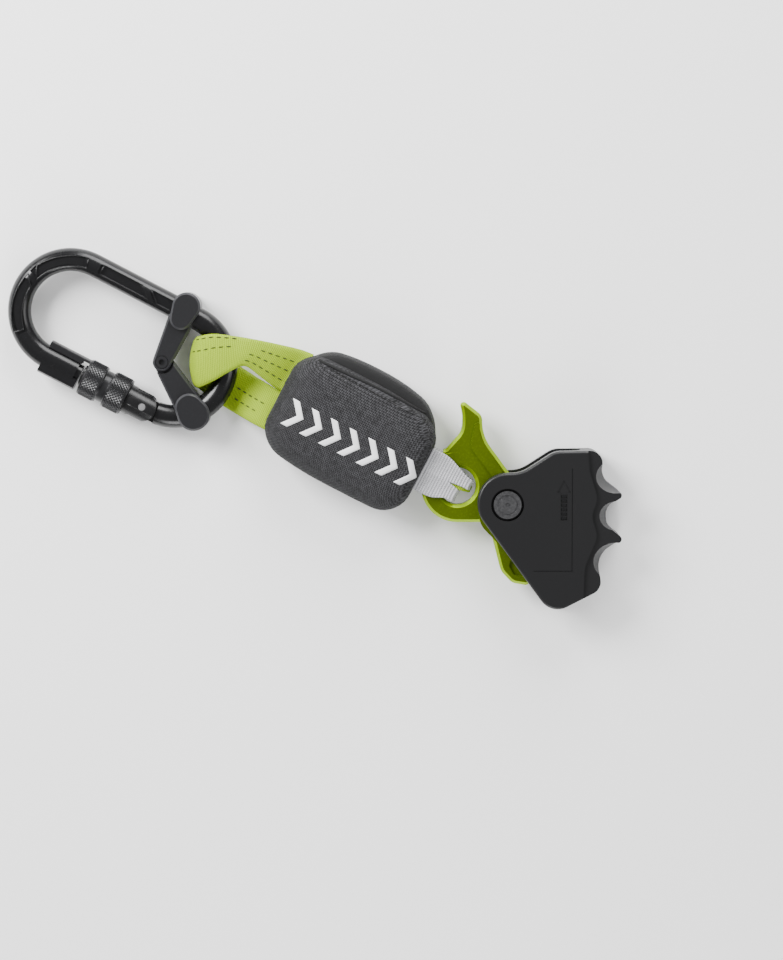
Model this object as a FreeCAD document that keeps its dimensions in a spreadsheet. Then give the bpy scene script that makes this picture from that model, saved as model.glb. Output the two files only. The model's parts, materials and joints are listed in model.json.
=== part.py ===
"""Mobile fall arrester for an 11 mm rope, with its energy absorber and connector.

The device lies on its back: +Y is up the rope, +Z is out of the front cover.
The origin is on the axis of the rope channel, level with the main axle.
All sizes are in millimetres and sit in the sheet "Sizes".
"""
import FreeCAD
import Part
import math
import os
import re

Vector = FreeCAD.Vector

SIZES = {
    # Rope channel and main axle
    "rope_offset": 25.8,
    "channel_bore": 6.0,
    "channel_wall": 1.2,
    "channel_top": 20.0,
    "channel_bottom": -36.0,
    "cavity_front": 6.25,
    "cavity_rear": -6.5,
    "axle_radius": 5.0,
    "running_gap": 0.05,
    "side_gap": 0.3,
    # Housing
    "cover_thick": 5.5,
    "rear_thick": 4.0,
    "axle_round": 13.3,
    "housing_top": 24.2,
    "housing_foot": -49.4,
    "tooth_reach": 52.2,
    "scallop_reach": 44.2,
    "edge_round": 1.2,
    "lever_round": 1.5,
    "band_drop": 1.4,
    "line_depth": 0.35,
    "scoop_lean": 32.0,
    # Release button in the hollow axle
    "button_radius": 6.2,
    "button_thick": 2.0,
    "counterbore": 7.3,
    "axle_flange": 1.0,
    "stem_radius": 3.2,
    # Cam lever
    "lever_half": 4.0,
    "lever_rim": 1.3,
    "boss_half": 5.95,
    "eye_along": -22.2,
    "eye_up": 7.9,
    "eye_radius": 8.3,
    "ring_radius": 16.3,
    "bushing_radius": 6.2,
    "spring_pocket": 9.0,
    "stop_arm": 20.0,
    "stop_pin_radius": 1.5,
    "stop_angle": -72.0,
    "cam_grip": 14.0,
    "cam_open": 20.0,
    # Absorber pouch, in the lanyard's own frame
    "lanyard_turn": -27.5,
    "pouch_left": -89.7,
    "pouch_right": -17.1,
    "pouch_low": -26.7,
    "pouch_high": 24.5,
    "pouch_back": -10.5,
    "pouch_front": 15.5,
    "pouch_wall": 1.5,
    "flap_thick": 4.2,
    "flap_lip": 30.0,
    "webbing_thick": 1.4,
    "webbing_wide": 18.0,
    # Connector
    "connector_level": -2.2,
    "bar_radius": 5.2,
    "pocket_depth": 1.1,
    "pocket_half": 2.3,
    "bow_radius": 23.1,
    "bow_centre": -137.3,
    "spine_span": 52.1,
    "spine_up": 12.5,
    "gate_radius": 6.75,
    "gate_core": 5.0,
    "gate_pin_place": -141.5,
    "gate_pin_radius": 1.6,
    "tongue_half": 2.5,
    "sleeve_radius": 8.3,
    "sleeve_bore": 6.85,
    "sleeve_left": -170.9,
    "sleeve_right": -149.8,
    "sleeve_stroke": 3.0,
    "hood_end": -190.7,
    "link_half": 7.2,
    "link_arm_half": 4.5,
    "link_rim": 0.9,
    "lap_radius": 5.3,
    "mouth_gap": 2.3,
}

doc = FreeCAD.newDocument("FallArrester")
sheet = doc.addObject("Spreadsheet::Sheet", "Sizes")
for row, (alias, value) in enumerate(SIZES.items(), start=1):
    sheet.set("A%d" % row, alias)
    sheet.set("B%d" % row, str(value))
    sheet.setAlias("B%d" % row, alias)
doc.recompute()

ALIAS_WORDS = re.compile(r"\b(%s)\b" % "|".join(SIZES))
TURNED = {
    "z": FreeCAD.Rotation(),
    "x": FreeCAD.Rotation(Vector(0, 1, 0), 90),
    "y": FreeCAD.Rotation(Vector(1, 0, 0), -90),
}
NODES = []


def num(text):
    """The value of an expression in the sheet's aliases."""
    return float(sheet.evalExpression(str(text)))


def bind(piece, expressions):
    for name, text in expressions.items():
        piece.setExpression(name, ALIAS_WORDS.sub(r"Sizes.\1", str(text)))


def bind_place(piece, start):
    for letter, text in zip("xyz", start):
        bind(piece, {"Placement.Base." + letter: text})


def cylinder(name, radius, start, length, axis="z"):
    """A round bar that runs from start along one axis."""
    bar = doc.addObject("Part::Cylinder", name)
    bar.Placement.Rotation = TURNED[axis]
    bind(bar, {"Radius": radius, "Height": length})
    bind_place(bar, start)
    return bar


def box(name, low, size):
    block = doc.addObject("Part::Box", name)
    bind(block, dict(zip(("Length", "Width", "Height"), size)))
    bind_place(block, low)
    return block


def ring(name, around, wire, start, axis="z", first=0, sweep=360):
    """A round wire bent about an axis through start."""
    torus = doc.addObject("Part::Torus", name)
    spin = FreeCAD.Rotation(Vector(0, 0, 1), first)
    torus.Placement.Rotation = TURNED[axis].multiply(spin)
    torus.Angle3 = sweep
    bind(torus, {"Radius1": around, "Radius2": wire})
    bind_place(torus, start)
    return torus


def fuse(name, pieces):
    joined = doc.addObject("Part::MultiFuse", name)
    joined.Shapes = pieces
    joined.Refine = True
    return joined


def cut(name, base, tools):
    """The base with each tool taken out of it."""
    for number, tool in enumerate(tools):
        result = doc.addObject("Part::Cut", "%s_cut%d" % (name, number))
        result.Base = base
        result.Tool = tool
        base = result
    return base


def common(name, base, tool):
    shared = doc.addObject("Part::Common", name)
    shared.Base = base
    shared.Tool = tool
    return shared


def outline(corners):
    """Straight runs joined by tangent arcs, one (x, y, radius) for each corner."""
    starts, ends, arcs = [], [], []
    for number, (x, y, radius) in enumerate(corners):
        here = Vector(x, y, 0)
        before = Vector(*corners[number - 1][:2], 0)
        after = Vector(*corners[(number + 1) % len(corners)][:2], 0)
        arriving = (here - before).normalize()
        leaving = (after - here).normalize()
        turn = arriving.getAngle(leaving)
        reach = radius * math.tan(turn / 2)
        first = here - arriving * reach
        last = here + leaving * reach
        inward = (leaving - arriving).normalize()
        middle = here + inward * (radius / math.cos(turn / 2) - radius)
        starts.append(first)
        ends.append(last)
        arcs.append(Part.Arc(first, middle, last))
    edges = []
    for number, arc in enumerate(arcs):
        following = starts[(number + 1) % len(arcs)]
        edges.append(arc)
        if (following - ends[number]).Length > 1e-6:
            edges.append(Part.LineSegment(ends[number], following))
    return edges


def inset(corners, gap):
    """The same outline moved inward, its arcs about the same centres."""
    area = sum(
        corners[n - 1][0] * corners[n][1] - corners[n][0] * corners[n - 1][1]
        for n in range(len(corners))
    )
    turning = math.copysign(1, area)
    moved = []
    for number, (x, y, radius) in enumerate(corners):
        here = Vector(x, y, 0)
        arriving = (here - Vector(*corners[number - 1][:2], 0)).normalize()
        leaving = (Vector(*corners[(number + 1) % len(corners)][:2], 0) - here).normalize()
        aside = Vector(-arriving.y - leaving.y, arriving.x + leaving.x, 0) * turning
        place = here + aside * (gap / (1 + arriving.dot(leaving)))
        convex = arriving.cross(leaving).z * turning > 0
        moved.append((place.x, place.y, radius - gap if convex else radius + gap))
    return moved


def rim(name, corners, wide_level, narrow_level, gap):
    """The sloped edge of a plate, between its full outline and its face."""
    sections = []
    for side, run, level in (("wide", corners, wide_level), ("narrow", inset(corners, gap), narrow_level)):
        sketch = doc.addObject("Sketcher::SketchObject", "%s_%s" % (name, side))
        sketch.addGeometry(outline(run), False)
        bind(sketch, {"Placement.Base.z": level})
        sections.append(sketch)
    loft = doc.addObject("Part::Loft", name)
    loft.Sections = sections
    loft.Solid = True
    loft.Ruled = True
    return loft


def slab(name, corners, low, high, holes=()):
    """A padded sketch of a rounded outline, with round holes (x, y, radius)."""
    body = doc.addObject("PartDesign::Body", name)
    sketch = body.newObject("Sketcher::SketchObject", name + "_sketch")
    planes = [item for item in body.Origin.OriginFeatures if item.Role == "XY_Plane"]
    sketch.AttachmentSupport = (planes[0], [""])
    sketch.MapMode = "FlatFace"
    bind(sketch, {"AttachmentOffset.Base.z": low})
    sketch.addGeometry(outline(corners), False)
    for x, y, radius in holes:
        sketch.addGeometry(Part.Circle(Vector(x, y, 0), Vector(0, 0, 1), radius), False)
    pad = body.newObject("PartDesign::Pad", name + "_pad")
    pad.Profile = sketch
    bind(pad, {"Length": "(%s) - (%s)" % (high, low)})
    body.Tip = pad
    doc.recompute()
    return body


def round_rims(body, radius, levels, hole=None):
    """Rounds every edge that lies flat at one of the levels, or a hole's only."""
    heights = [num(level) for level in levels]
    names = []
    for number, edge in enumerate(body.Tip.Shape.Edges, start=1):
        span = edge.BoundBox
        flat = any(abs(span.ZMin - z) < 1e-4 and abs(span.ZMax - z) < 1e-4 for z in heights)
        if hole is None:
            wanted = flat
        else:
            wanted = flat and abs(span.XLength - 2 * num(hole)) < 1e-4
        if wanted:
            names.append("Edge%d" % number)
    base = body.Tip
    fillet = body.newObject("PartDesign::Fillet", body.Name + "_round")
    fillet.Base = (base, names)
    bind(fillet, {"Radius": radius})
    body.Tip = fillet
    doc.recompute()
    return body


def upright(body):
    """Stands a slab up, so that its sketch lies in the plane of u and z."""
    body.Placement.Rotation = FreeCAD.Rotation(Vector(1, 0, 0), 90)
    return body


def node(label, piece, place=None):
    """Names the finished sub-part and puts it where it belongs."""
    if place is not None:
        piece.Placement = place.multiply(piece.Placement)
    piece.Label = label
    NODES.append(piece)
    return piece


AXLE = FreeCAD.Placement(Vector(-num("rope_offset"), 0, 0), FreeCAD.Rotation())
LANYARD = FreeCAD.Placement(
    Vector(num("eye_along - rope_offset"), num("eye_up"), 0),
    FreeCAD.Rotation(Vector(0, 0, 1), num("lanyard_turn")),
)
COVER_TOP = "cavity_front + cover_thick"
BAND_LEVEL = "cavity_front + cover_thick - band_drop"
REAR_FACE = "cavity_rear - rear_thick"
FLANGE_SEAT = "cavity_front + 1"
BOW_MIDDLE = "spine_up - bow_radius"
GATE_AXIS = "spine_up - 2 * bow_radius"
LEFT_BOW = "bow_centre - spine_span"
FLEX_PLACE = "pouch_left - mouth_gap"


# Housing ---------------------------------------------------------------------

def housing_corners():
    """The plate's outline about the axle: round nose, three finger scallops."""
    nose = num("axle_round")
    top = num("housing_top")
    foot = num("housing_foot")
    tooth = num("tooth_reach")
    scallop = num("scallop_reach")
    return [
        (-nose, -0.3 * nose, nose),
        (-nose, nose + 0.5, nose),
        (6.0, nose + 1.0, 14),
        (20.9, top - 0.3, 10),
        (scallop - 1.8, top, 5.5),
        (scallop - 2.0, 11.8, 9),
        (tooth, 4.0, 1.7),
        (scallop, -0.8, 7),
        (scallop, -9.2, 7),
        (tooth, -15.6, 1.7),
        (scallop - 4.2, -23.3, 10),
        (scallop - 1.8, foot + 11.6, 6),
        (19.8, foot, 9),
    ]


def band_corners():
    """The lower band under the fingers, to the right of the raised face."""
    edge = num("scallop_reach") - 5.2
    far = num("tooth_reach") + 5
    high = num("housing_top") + 5
    deep = num("housing_foot") - 5
    return [
        (edge - 3.5, high, 0.5),
        (edge - 2.5, 15, 12),
        (edge + 1.2, 3, 8),
        (edge - 1.5, -5, 8),
        (edge + 1.2, -14, 8),
        (edge - 4.5, -28, 14),
        (edge - 5.5, deep, 0.5),
        (far, deep, 1),
        (far, high, 1),
    ]


def channel_sector(name, radius, bottom, top):
    """A sector of a round bar along the rope, open towards the cam."""
    bar = doc.addObject("Part::Cylinder", name)
    bar.Angle = 120
    spin = FreeCAD.Rotation(Vector(0, 0, 1), -60)
    bar.Placement.Rotation = TURNED["y"].multiply(spin)
    bind(bar, {"Radius": radius, "Height": "(%s) - (%s)" % (top, bottom)})
    bind_place(bar, ("rope_offset", bottom, 0))
    return bar


def finger_scoops():
    """Leaning round bars that dish the cover behind each finger scallop."""
    scoops = []
    lean = num("scoop_lean")
    drop = 20
    for number, (reach, y, radius) in enumerate(((-1.6, 12.6, 7.5), (0, -5, 6.6), (-2.6, -25.5, 8.5))):
        bar = doc.addObject("Part::Cylinder", "finger_scoop%d" % number)
        bar.Placement.Rotation = FreeCAD.Rotation(Vector(0, 1, 0), -lean)
        slope = math.radians(lean)
        out = reach + radius / math.cos(slope) + drop * math.tan(slope)
        bind(bar, {"Radius": radius, "Height": "60"})
        bind_place(bar, ("scallop_reach + %.4f" % out, y, "cavity_front - 1 - %s" % drop))
        scoops.append(bar)
    return scoops


def make_front_housing():
    cover = slab("cover", housing_corners(), "cavity_front", COVER_TOP)
    cover = round_rims(cover, "edge_round", [COVER_TOP])
    band = slab("band", band_corners(), BAND_LEVEL, COVER_TOP + " + 1")
    wall = slab("grip_wall", housing_corners(), "cavity_rear + side_gap", "cavity_front")
    hollow = box(
        "hollow",
        ("-axle_round - 5", "housing_foot - 5", "cavity_rear - 1"),
        ("axle_round + 5 + rope_offset + channel_bore / 2", "100", "20"),
    )
    wall = cut("grip_wall", wall, [hollow])
    solid = fuse("housing_solid", [cut("cover_band", cover, [band]), wall])
    pocket = "channel_bore + channel_wall + running_gap"
    groove = cylinder("groove", pocket, ("rope_offset", "housing_foot", 0), "100", "y")
    slot = box(
        "groove_limit",
        ("-50", "housing_foot", "cavity_rear - 1"),
        ("200", "120", "cavity_front - cavity_rear + 1"),
    )
    groove = common("groove_inside", groove, slot)
    recess = cylinder("counterbore", "counterbore", (0, 0, FLANGE_SEAT), "20")
    bore = cylinder("axle_hole", "axle_radius", (0, 0, 0), "20")
    pin_x = "stop_arm * cos(stop_angle)"
    pin_y = "stop_arm * sin(stop_angle)"
    stop = cylinder("stop_hole", "stop_pin_radius", (pin_x, pin_y, 0), "cavity_front + 3")
    upright_line = box(
        "upright_line", (28.6, -29.8, COVER_TOP + " - line_depth"), ("0.4", "46", "2")
    )
    level_line = box(
        "level_line", (11.6, -29.8, COVER_TOP + " - line_depth"), ("17.2", "0.4", "2")
    )
    shaft = box("arrow_shaft", (23.6, -7, COVER_TOP + " - line_depth"), ("3", "12.5", "2"))
    head = slab(
        "arrow_head",
        [(22.0, 5.4, 0.2), (28.2, 5.4, 0.2), (25.1, 11.2, 0.3)],
        COVER_TOP + " - line_depth",
        COVER_TOP + " + 1",
    )
    tools = [groove, recess, bore, stop, upright_line, level_line, shaft, head] + finger_scoops()
    node("front_housing", cut("front_housing", solid, tools), AXLE)


def make_rear_plate():
    plate = slab("plate", housing_corners(), REAR_FACE, "cavity_rear")
    plate = round_rims(plate, "edge_round", [REAR_FACE])
    bore = cylinder("plate_bore", "axle_radius + running_gap", (0, 0, -20), "20")
    recess = cylinder("plate_recess", "counterbore + 0.2", (0, 0, -20), "20 + cavity_rear - 2.4")
    node("rear_plate", cut("rear_plate", plate, [bore, recess]), AXLE)


def make_rope_channel():
    outer = channel_sector("liner_outer", "channel_bore + channel_wall", "channel_bottom", "channel_top")
    inner = channel_sector("liner_inner", "channel_bore", "channel_bottom - 1", "channel_top + 1")
    node("rope_channel", cut("rope_channel", outer, [inner]), AXLE)


# Axle, button and cam lever ---------------------------------------------------

def make_axle():
    reach = "cavity_front + 1 - cavity_rear + 3.8"
    tube = cylinder("axle_tube", "axle_radius", (0, 0, "cavity_rear - 3.8"), reach)
    flange = cylinder("axle_flange_disc", "counterbore - 0.1", (0, 0, FLANGE_SEAT), "axle_flange")
    solid = fuse("axle_solid", [tube, flange])
    bore = cylinder("axle_bore", "stem_radius + running_gap", (0, 0, -4), "20")
    node("axle", cut("axle", solid, [bore]), AXLE)
    nut = cylinder("nut_disc", "counterbore - 0.3", (0, 0, "cavity_rear - 3.8"), "1.2")
    hole = cylinder("nut_hole", "axle_radius", (0, 0, -20), "20")
    slot_a = box("nut_slot_a", (-10, -1, "cavity_rear - 3.9"), ("4.2", "2", "0.7"))
    slot_b = box("nut_slot_b", (5.8, -1, "cavity_rear - 3.9"), ("4.2", "2", "0.7"))
    node("axle_nut", cut("axle_nut", nut, [hole, slot_a, slot_b]), AXLE)


def make_button():
    top = COVER_TOP + " - 0.1"
    head = cylinder("button_head", "button_radius", (0, 0, top + " - button_thick"), "button_thick")
    stem = cylinder("button_stem", "stem_radius", (0, 0, 2), top + " - button_thick - 2")
    solid = fuse("button_solid", [head, stem])
    groove = cylinder("button_groove", "button_radius - 1.7", (0, 0, top + " - 0.25"), "2")
    core = cylinder("button_core", "button_radius - 2.3", (0, 0, top + " - 1"), "4")
    centre = cylinder("button_centre", 0.9, (0, 0, top + " - 0.4"), "2")
    dish = cut("button_dish", groove, [core])
    node("axle_button", cut("axle_button", solid, [dish, centre]), AXLE)
    turns = [
        ring("button_turn%d" % turn, 2.4, 0.4, (0, 0, "%s" % (-3.55 + 0.72 * turn)))
        for turn in range(8)
    ]
    node("button_spring", fuse("button_spring", turns), AXLE)


def make_stop_pin():
    pin_x = "stop_arm * cos(stop_angle)"
    pin_y = "stop_arm * sin(stop_angle)"
    low = "cavity_rear + side_gap"
    long = "cavity_front + 3 - (%s)" % low
    shank = cylinder("stop_shank", "stop_pin_radius", (pin_x, pin_y, low + " + 0.4"), long + " - 0.4")
    tip = cylinder("stop_tip", "stop_pin_radius - 0.3", (pin_x, pin_y, low), "2")
    node("stop_pin", fuse("stop_pin", [shank, tip]), AXLE)


def lever_corners():
    """Eye ring on the left, thumb horn above and tail below, about the axle."""
    eye_x = num("eye_along")
    eye_y = num("eye_up")
    reach = num("ring_radius")
    return [
        (eye_x - reach, eye_y - reach, reach),
        (eye_x - reach, eye_y + reach, reach),
        (-27.5, eye_y + reach, 2),
        (-20.0, 32.5, 9),
        (-20.0, 40.5, 16),
        (-22.0, 47.8, 1.5),
        (-11.2, 39.4, 4),
        (-10.9, 30.0, 20),
        (3.4, 10.4, 10),
        (9.0, -2.0, 12),
        (8.2, -20.0, 16),
        (10.8, -37.2, 2),
        (2.5, -35.8, 5),
        (-2.6, -30.5, 8),
        (-8.2, eye_y - reach, 5),
    ]


CAM_CORNERS = [
    (-12.4, -9.0, 9),
    (-12.4, 12.2, 11.8),
    (15.0, 12.2, 9),
    (20.4, -7.5, 16),
    (13.0, -24.0, 3),
    (-1.0, -21.0, 8),
]
CAM_ARC = (3.46, -6.17, 16)
HORN_PANEL = [
    (-14.4, 36.0, 0.8),
    (-12.3, 36.6, 0.8),
    (-12.1, 30.2, 10),
    (-1.0, 12.6, 1.5),
    (-6.0, 11.5, 2),
    (-16.6, 25.5, 6),
]
TAIL_POCKET = [(1.9, -24.4, 0.8), (8.4, -33.3, 0.6), (3.2, -32.0, 1.2), (1.0, -28.0, 1)]


def stop_slot():
    """The curved slot that lets the lever turn between its two stops."""
    wide = "stop_pin_radius + 0.25"
    first = num("stop_angle - cam_grip") - 1
    last = num("stop_angle + cam_open") + 1
    sector = doc.addObject("Part::Cylinder", "slot_outer")
    sector.Angle = last - first
    sector.Placement.Rotation = FreeCAD.Rotation(Vector(0, 0, 1), first)
    bind(sector, {"Radius": "stop_arm + " + wide, "Height": "20"})
    bind_place(sector, (0, 0, -10))
    inner = cylinder("slot_inner", "stop_arm - (%s)" % wide, (0, 0, -11), "22")
    pieces = [cut("slot_sector", sector, [inner])]
    for side, angle in (("low", first), ("high", last)):
        place = ("stop_arm * cos(%s)" % angle, "stop_arm * sin(%s)" % angle, -10)
        pieces.append(cylinder("slot_end_" + side, wide, place, "20"))
    return fuse("stop_slot", pieces)


def make_cam_lever():
    arm = slab("lever_arm", lever_corners(), "-lever_half + lever_rim", "lever_half - lever_rim")
    gap = num("lever_rim")
    top = rim("lever_top", lever_corners(), "lever_half - lever_rim", "lever_half", gap)
    under = rim("lever_under", lever_corners(), "-lever_half + lever_rim", "-lever_half", gap)
    cam = slab("lever_cam", CAM_CORNERS, "-boss_half", "boss_half")
    panel = slab("horn_panel", HORN_PANEL, "0", "lever_half + 0.7")
    solid = fuse("lever_solid", [arm, top, under, cam, panel])
    eye = cylinder("lever_eye", "eye_radius", ("eye_along", "eye_up", -10), "20")
    sinks = []
    for side, level in (("top", "lever_half - lever_round"), ("under", "-lever_half")):
        sink = doc.addObject("Part::Cone", "eye_sink_" + side)
        ends = ("eye_radius", "eye_radius + lever_round")
        if side == "under":
            ends = ends[::-1]
        bind(sink, {"Radius1": ends[0], "Radius2": ends[1], "Height": "lever_round"})
        bind_place(sink, ("eye_along", "eye_up", level))
        sinks.append(sink)
    bore = cylinder("lever_bore", "bushing_radius", (0, 0, -10), "20")
    pocket = cylinder("spring_recess", "spring_pocket", (0, 0, "2.4"), "20")
    hollow = slab("tail_pocket", TAIL_POCKET, "lever_half - 1.5", "lever_half + 1")
    tools = [bore, pocket, stop_slot(), hollow, eye] + sinks
    for number in range(7):
        turn = math.radians(-19 + 5 * number)
        groove_x = CAM_ARC[0] + CAM_ARC[2] * math.cos(turn)
        groove_y = CAM_ARC[1] + CAM_ARC[2] * math.sin(turn)
        tools.append(cylinder("cam_groove%d" % number, 0.45, (groove_x, groove_y, -10), "20"))
    node("cam_lever", cut("cam_lever", solid, tools), AXLE)
    sleeve = cylinder("bushing_outer", "bushing_radius", (0, 0, "-boss_half"), "2 * boss_half")
    bore = cylinder("bushing_bore", "axle_radius + running_gap", (0, 0, -10), "20")
    node("cam_bushing", cut("cam_bushing", sleeve, [bore]), AXLE)
    turns = [
        ring("cam_turn%d" % turn, 7.6, 0.5, (0, 0, "%s" % (3.3 + 0.9 * turn)))
        for turn in range(3)
    ]
    leg = cylinder("cam_spring_leg", 0.5, (7.6, 0, 5.1), "0.8")
    node("cam_spring", fuse("cam_spring", turns + [leg]), AXLE)


# Absorber pouch and slings, in the lanyard's frame ----------------------------

def rounded_box(left, low, right, high, radius):
    return [(left, low, radius), (left, high, radius), (right, high, radius), (right, low, radius)]


def make_pouch():
    left, right = num("pouch_left"), num("pouch_right")
    low, high = num("pouch_low"), num("pouch_high")
    wall = num("pouch_wall")
    flap_top = "pouch_back + flap_thick"
    cover = slab("pouch", rounded_box(left, low, right, high, 12), flap_top + " + 0.1", "pouch_front")
    cover = round_rims(cover, 7, ["pouch_front"])
    hollow = slab(
        "pouch_hollow",
        rounded_box(left + wall, low + wall, right - wall, high - wall, 10.5),
        "pouch_back",
        "pouch_front - pouch_wall",
    )
    hollow = round_rims(hollow, 5.5, ["pouch_front - pouch_wall"])
    left_mouth = box("left_mouth", ("pouch_left - 5", -18.5, -4), ("20", "40", "8"))
    right_mouth = box("right_mouth", ("pouch_right - 10", -9.5, -8), ("20", "19", "14.6"))
    node("pouch_cover", cut("pouch_cover", cover, [hollow, left_mouth, right_mouth]), LANYARD)
    lip = num("flap_lip")
    flap = slab(
        "flap", rounded_box(left + 2, low + 1.5, right - 1.5, lip, 13), "pouch_back", "6"
    )
    flap = round_rims(flap, 1.5, ["pouch_back", "6"])
    room = slab(
        "flap_room",
        rounded_box(left - 4, low - 8, right + 4, high + 0.2, 12.2),
        flap_top,
        "20",
    )
    node("pouch_flap", cut("pouch_flap", flap, [room]), LANYARD)
    folds = []
    for number in range(4):
        level = -5.4 + 4.6 * number
        side = -17 + 1.2 * (number % 2)
        folds.append(
            slab(
                "fold%d" % number,
                rounded_box(left + 12, side, right - 14, -side - 2, 3),
                "%s" % level,
                "%s" % (level + 4.6),
            )
        )
    node("tear_webbing_pack", fuse("tear_webbing_pack", folds), LANYARD)


def webbing_profile(name, points):
    """A strip of webbing along a run of (u, z) points, over the full width."""
    half = num("webbing_thick") / 2
    upper = [(u, z + half, 0.01) for u, z in points]
    lower = [(u, z - half, 0.01) for u, z in reversed(points)]
    return upright(slab(name, upper + lower, "-40", "40"))


FOLD_HIGH = (-134.3, 4.2)
FOLD_LOW = (-124.0, -14.3)


def make_slings():
    half = "webbing_wide / 2"
    end = "pouch_right - 12.5"
    reach = "12.5 - pouch_right + 1"
    over = "lever_half + side_gap"
    front = box("grey_front", (end, "-(%s)" % half, over), (reach, "webbing_wide", "webbing_thick"))
    rear_start = (end, "-(%s)" % half, "-(%s) - webbing_thick" % over)
    rear = box("grey_rear", rear_start, (reach, "webbing_wide", "webbing_thick"))
    across = "2 * (%s + webbing_thick)" % over
    through = box("grey_through", (-3, -6.5, "-(%s) - webbing_thick" % over), ("4", "13", across))
    node("sling_grey", fuse("sling_grey", [front, rear, through]), LANYARD)
    mouth = num(FLEX_PLACE) - 0.5
    front_plan = [(mouth, 20.5, 0.5), (mouth, 1.2, 0.5), (*FOLD_LOW, 0.5), (*FOLD_HIGH, 0.5)]
    rear_plan = [(mouth, 0.8, 0.5), (mouth, -17.7, 0.5), (*FOLD_LOW, 0.5), (*FOLD_HIGH, 0.5)]
    front_run = webbing_profile("front_run", [(mouth, 0.7), (mouth - 11.5, 6.7), (-140, 6.7)])
    rear_run = webbing_profile("rear_run", [(mouth, 0.7), (mouth - 12.5, -9.6), (-140, -9.6)])
    front_leg = common("front_leg", front_run, slab("front_plan", front_plan, "-20", "20"))
    rear_leg = common("rear_leg", rear_run, slab("rear_plan", rear_plan, "-20", "20"))
    along = Vector(FOLD_LOW[0] - FOLD_HIGH[0], FOLD_LOW[1] - FOLD_HIGH[1], 0).normalize()
    aside = Vector(along.y, -along.x, 0) * -num("webbing_thick")
    fold_plan = [
        (*FOLD_HIGH, 0.3),
        (*FOLD_LOW, 0.3),
        (FOLD_LOW[0] + aside.x, FOLD_LOW[1] + aside.y, 0.3),
        (FOLD_HIGH[0] + aside.x, FOLD_HIGH[1] + aside.y, 0.3),
    ]
    fold = slab("fold_wall", fold_plan, "-9.6 - webbing_thick / 2", "6.7 + webbing_thick / 2")
    node("sling_green", fuse("sling_green", [front_leg, rear_leg, fold]), LANYARD)
    tail_left = FLEX_PLACE + " + 0.3"
    long = "pouch_left + 11 - (%s)" % tail_left
    rear_tail = box("rear_tail", (tail_left, -17.7, 0), (long, "18.5", "webbing_thick"))
    front_tail = box("front_tail", (tail_left, 0.5, 0), (long, "20", "webbing_thick"))
    node("sling_green_tail", fuse("sling_green_tail", [rear_tail, front_tail]), LANYARD)


# Connector, in the lanyard's frame --------------------------------------------

def face_grooves():
    """Shallow pockets along the spine and round the left bow, on both faces."""
    tools = []
    half = num("pocket_half")
    up = num("spine_up")
    first = num("bow_centre - spine_span + 3")
    middle = num("bow_centre - 0.5 * spine_span + 1")
    last = num("bow_centre - 8")
    runs = [
        [(first, up - half), (first, up + half), (middle - 5, up + half), (middle, up - half)],
        [(middle + 4.5, up - half), (middle - 0.5, up + half), (last, up + half), (last, up - half)],
    ]
    front_low = "connector_level + bar_radius - pocket_depth"
    rear_low = "connector_level - bar_radius - 5 + pocket_depth"
    for side, low in (("front", front_low), ("rear", rear_low)):
        for number, run in enumerate(runs):
            corners = [(x, y, 0.8) for x, y in run]
            tools.append(slab("spine_pocket%d_%s" % (number, side), corners, low, low + " + 5"))
        for number, (start, sweep) in enumerate(((100, 62), (170, 62))):
            label = "%d_%s" % (number, side)
            centre = (LEFT_BOW, BOW_MIDDLE, low)
            sector = doc.addObject("Part::Cylinder", "bow_pocket_outer" + label)
            sector.Angle = sweep
            sector.Placement.Rotation = FreeCAD.Rotation(Vector(0, 0, 1), start)
            bind(sector, {"Radius": "bow_radius + pocket_half", "Height": "5"})
            bind_place(sector, centre)
            core = cylinder("bow_pocket_inner" + label, "bow_radius - pocket_half", centre, "5")
            tools.append(cut("bow_pocket" + label, sector, [core]))
    return tools


def make_connector_frame():
    level = "connector_level"
    start = math.degrees(math.asin(2.6 / num("bow_radius"))) - 90
    right_middle = ("bow_centre", BOW_MIDDLE, level)
    left_middle = (LEFT_BOW, BOW_MIDDLE, level)
    right = ring("right_bow", "bow_radius", "bar_radius", right_middle, "z", start, 90 - start)
    left = ring("left_bow", "bow_radius", "bar_radius", left_middle, "z", 90, 180)
    spine = cylinder("spine", "bar_radius", (LEFT_BOW, "spine_up", level), "spine_span", "x")
    nose = cylinder("nose", "bar_radius", (LEFT_BOW, GATE_AXIS, level), "14.5", "x")
    tip = cylinder("nose_tip", "bar_radius - 1.2", (LEFT_BOW, GATE_AXIS, level), "16.6", "x")
    axis = num(GATE_AXIS)
    tongue = slab(
        "tongue",
        rounded_box(num("gate_pin_place") - 4.8, axis - 4.4, num("bow_centre") + 7.5, axis + 4.9, 4.2),
        "connector_level - tongue_half",
        "connector_level + tongue_half",
    )
    start = ("hood_end", GATE_AXIS, level)
    long = "sleeve_left - 1.9 - hood_end"
    guard = cylinder("nose_guard_bar", "sleeve_radius - 0.4", start, long, "x")
    guard_bore = cylinder("nose_guard_bore", "bar_radius - 1.2", start, "30", "x")
    guard_side = box(
        "nose_guard_side",
        ("hood_end - 1", "%s - 12" % GATE_AXIS, "connector_level - 3.8"),
        ("30", "9.4", "7.6"),
    )
    guard = common("nose_guard", cut("guard_tube", guard, [guard_bore]), guard_side)
    solid = fuse("frame_solid", [right, left, spine, nose, tip, tongue, guard])
    pin_start = ("gate_pin_place", GATE_AXIS, -20)
    pin_hole = cylinder("frame_pin_hole", "gate_pin_radius + running_gap", pin_start, "40")
    node("carabiner_frame", cut("carabiner_frame", solid, face_grooves() + [pin_hole]), LANYARD)


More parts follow.
